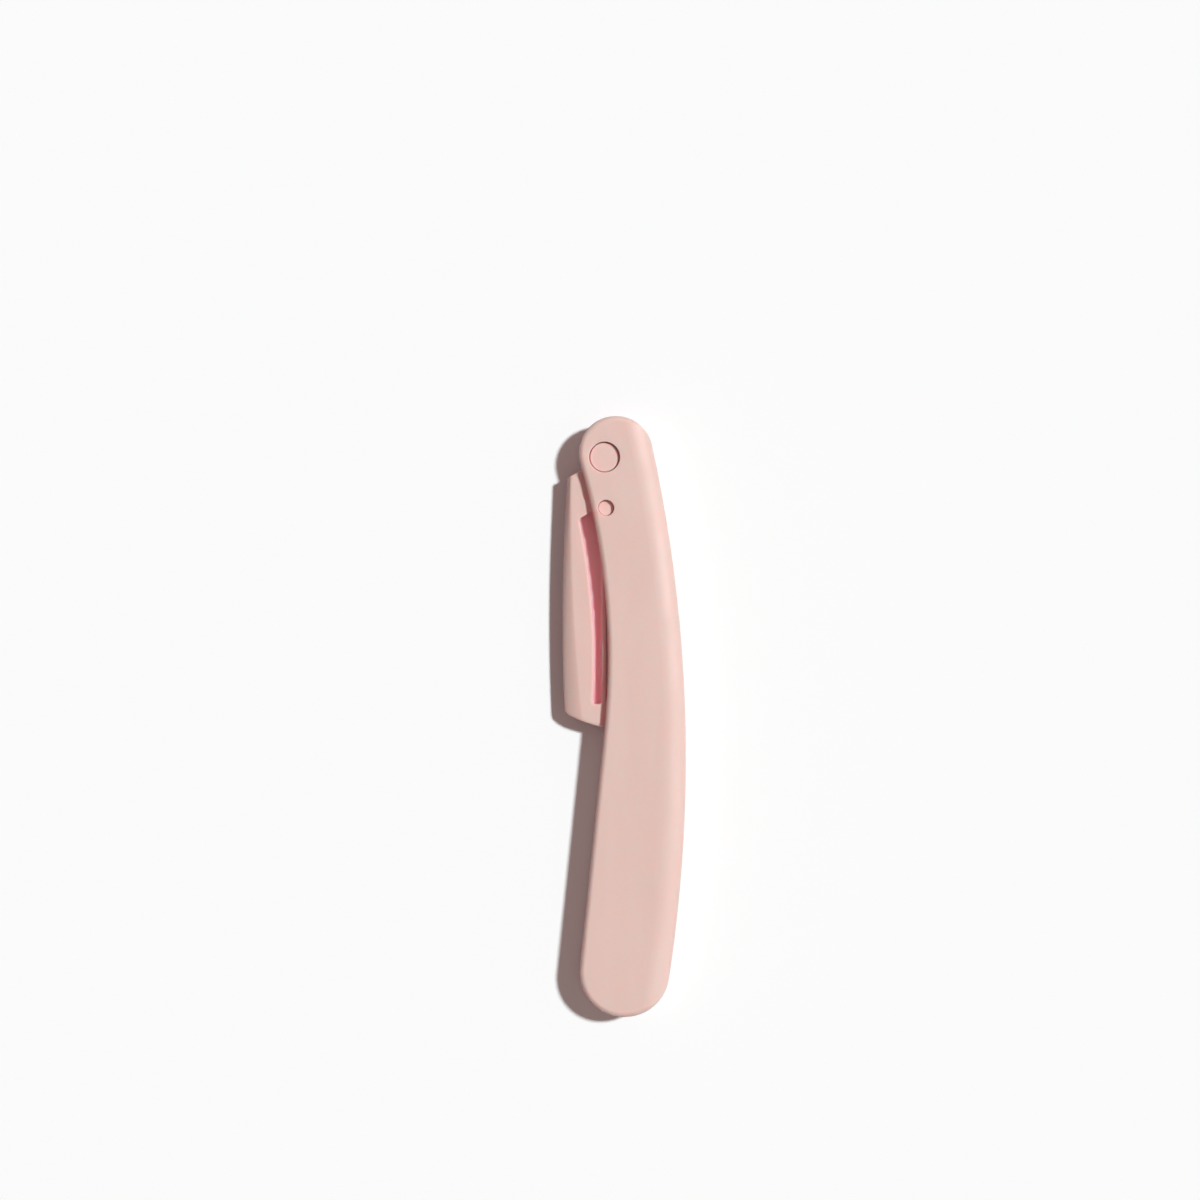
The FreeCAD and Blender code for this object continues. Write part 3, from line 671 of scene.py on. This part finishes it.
class RAZOR_OT_comb_guard(bpy.types.Operator):
    """Model the comb guard with its row of rounded teeth and finish it"""

    bl_idname = "razor.comb_guard"
    bl_label = "Comb guard"

    def execute(self, context):
        guard = context.scene.razor_guard
        finish = context.scene.razor_finish
        low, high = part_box("comb_guard")
        tooth = guard_tooth(low, high, guard)
        length = high.y - low.y
        count = int((length - guard.tooth_width) / guard.tooth_pitch) + 1
        row = tooth.modifiers.new("row", "ARRAY")
        row.count = count
        row.use_relative_offset = False
        row.use_constant_offset = True
        row.constant_offset_displace = (0, (length - guard.tooth_width) / (count - 1), 0)
        bpy.ops.object.select_all(action="DESELECT")
        tooth.select_set(True)
        context.view_layer.objects.active = tooth
        bpy.ops.object.modifier_apply(modifier="row")
        rails = guard_rails(low, high, guard)
        bpy.ops.object.select_all(action="DESELECT")
        for piece in (*rails, tooth):
            piece.select_set(True)
        context.view_layer.objects.active = tooth
        bpy.ops.object.join()
        bpy.ops.object.shade_smooth_by_angle(angle=math.radians(35))
        pigment = tuple(finish.guard_pigment)
        plastic = moulding(
            "guard_moulding", pigment, finish, scuffs=0.2, soak=0.2, shelter=6 * MM, reach=0.3 * MM,
            rounding=finish.edge_rounding)
        tooth.data.materials.clear()
        tooth.data.materials.append(plastic)
        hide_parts("comb_guard")
        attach(tooth, "head")
        return {"FINISHED"}


def backdrop_rays(tree, column, row):
    """Return a socket that is 1 for rays that show the backdrop itself."""
    rays = add_node(tree, "ShaderNodeLightPath", column, row)
    seen = rays.outputs["Is Camera Ray"]
    seen = maths(tree, column + 1, row, "MAXIMUM", seen, rays.outputs["Is Glossy Ray"])
    return maths(tree, column + 2, row, "MAXIMUM", seen, rays.outputs["Is Transmission Ray"])


def floor_material(bounce):
    """Return the floor's matt white, open from below and to the light of a face that rests on it."""
    material = bpy.data.materials.new("stage_floor")
    material.use_nodes = True
    tree = material.node_tree
    tree.nodes.clear()
    colour = mix_colour(tree, 3, 0, backdrop_rays(tree, 0, 0), (bounce, bounce, bounce), (1.0, 1.0, 1.0))
    matt = add_node(tree, "ShaderNodeBsdfDiffuse", 4, 0)
    link(tree, colour, matt.inputs["Color"])
    side = add_node(tree, "ShaderNodeNewGeometry", 0, 1)
    rays = add_node(tree, "ShaderNodeLightPath", 0, 2)
    near = maths(tree, 1, 2, "LESS_THAN", rays.outputs["Ray Length"], 0.15 * MM)
    near = maths(tree, 2, 2, "MULTIPLY", near, rays.outputs["Is Diffuse Ray"])
    open_share = maths(tree, 3, 1, "MAXIMUM", side.outputs["Backfacing"], near)
    clear = add_node(tree, "ShaderNodeBsdfTransparent", 4, 1)
    either = add_node(tree, "ShaderNodeMixShader", 5, 0)
    link(tree, open_share, either.inputs[0])
    link(tree, matt.outputs["BSDF"], either.inputs[1])
    link(tree, clear.outputs["BSDF"], either.inputs[2])
    result = add_node(tree, "ShaderNodeOutputMaterial", 6, 0)
    link(tree, either.outputs["Shader"], result.inputs["Surface"])
    return material


class RAZOR_OT_stage(bpy.types.Operator):
    """Lay the floor and set the key lamp, the fill and the camera"""

    bl_idname = "razor.stage"
    bl_label = "Stage"

    def execute(self, context):
        stage = context.scene.razor_stage
        low, high = CAD_BOX
        bpy.ops.object.select_all(action="DESELECT")
        bpy.ops.mesh.primitive_circle_add(
            vertices=96, radius=3, fill_type="NGON", location=(0, 0, low.z - 0.02 * MM))
        floor = context.object
        floor.name = "stage_floor"
        floor.data.materials.append(floor_material(stage.floor_bounce))

        bpy.ops.object.light_add(
            type="SUN", location=(0.4, 0.2, 0.6),
            rotation=(0, math.pi / 2 - stage.key_height, stage.key_heading))
        key = context.object
        key.name = "key_lamp"
        key.data.energy = stage.key_level * math.pi
        key.data.color = stage.key_tint
        key.data.angle = stage.key_softness

        world = bpy.data.worlds.new("stage_fill")
        context.scene.world = world
        world.use_nodes = True
        tree = world.node_tree
        tree.nodes.clear()
        heading = add_node(tree, "ShaderNodeTexCoord", 0, 1)
        axes = add_node(tree, "ShaderNodeSeparateXYZ", 1, 1)
        link(tree, heading.outputs["Generated"], axes.inputs["Vector"])
        below = maths(tree, 2, 1, "LESS_THAN", axes.outputs["Z"], -0.05)
        even = tuple(stage.fill_level * part for part in stage.fill_tint)
        under = (stage.under_level,) * 3
        fill = mix_colour(tree, 3, 1, below, even, under)
        colour = mix_colour(tree, 4, 0, backdrop_rays(tree, 0, 0), fill, (1.0, 1.0, 1.0))
        glow = add_node(tree, "ShaderNodeBackground", 5, 0)
        link(tree, colour, glow.inputs["Color"])
        result = add_node(tree, "ShaderNodeOutputWorld", 6, 0)
        link(tree, glow.outputs["Background"], result.inputs["Surface"])

        bpy.ops.object.camera_add(
            location=(stage.camera_x, stage.camera_y, high.z + stage.camera_rise), rotation=(0, 0, 0))
        camera = context.object
        camera.name = "photo_camera"
        camera.data.lens = stage.lens
        camera.data.sensor_width = 36
        camera.data.clip_start = 0.01
        camera.data.clip_end = 20
        context.scene.camera = camera
        context.scene.view_settings.view_transform = "Standard"
        return {"FINISHED"}


OPERATORS = (
    RAZOR_OT_handle_shells,
    RAZOR_OT_pins,
    RAZOR_OT_head_mouldings,
    RAZOR_OT_blade,
    RAZOR_OT_comb_guard,
    RAZOR_OT_stage,
)


class RAZOR_PT_looks(bpy.types.Panel):
    """Steps and settings of the razor's looks"""

    bl_idname = "RAZOR_PT_looks"
    bl_label = "Eyebrow razor"
    bl_space_type = "VIEW_3D"
    bl_region_type = "UI"
    bl_category = "Razor"

    def draw(self, context):
        layout = self.layout
        for operator in OPERATORS:
            layout.operator(operator.bl_idname)
        for group in (context.scene.razor_finish, context.scene.razor_guard, context.scene.razor_stage):
            box = layout.box()
            for name in group.__annotations__:
                box.prop(group, name)


CLASSES = (RazorFinish, RazorGuard, RazorStage, *OPERATORS, RAZOR_PT_looks)


def register():
    """Register the classes and hang the settings on the scene."""
    for entry in CLASSES:
        bpy.utils.register_class(entry)
    bpy.types.Scene.razor_finish = bpy.props.PointerProperty(type=RazorFinish)
    bpy.types.Scene.razor_guard = bpy.props.PointerProperty(type=RazorGuard)
    bpy.types.Scene.razor_stage = bpy.props.PointerProperty(type=RazorStage)


def unregister():
    """Take the settings off the scene and unregister the classes."""
    del bpy.types.Scene.razor_stage
    del bpy.types.Scene.razor_guard
    del bpy.types.Scene.razor_finish
    for entry in reversed(CLASSES):
        bpy.utils.unregister_class(entry)


def main():
    """Run the steps in order."""
    register()
    bpy.ops.razor.handle_shells()
    bpy.ops.razor.pins()
    bpy.ops.razor.head_mouldings()
    bpy.ops.razor.blade()
    bpy.ops.razor.comb_guard()
    bpy.ops.razor.stage()


if __name__ == "__main__":
    main()
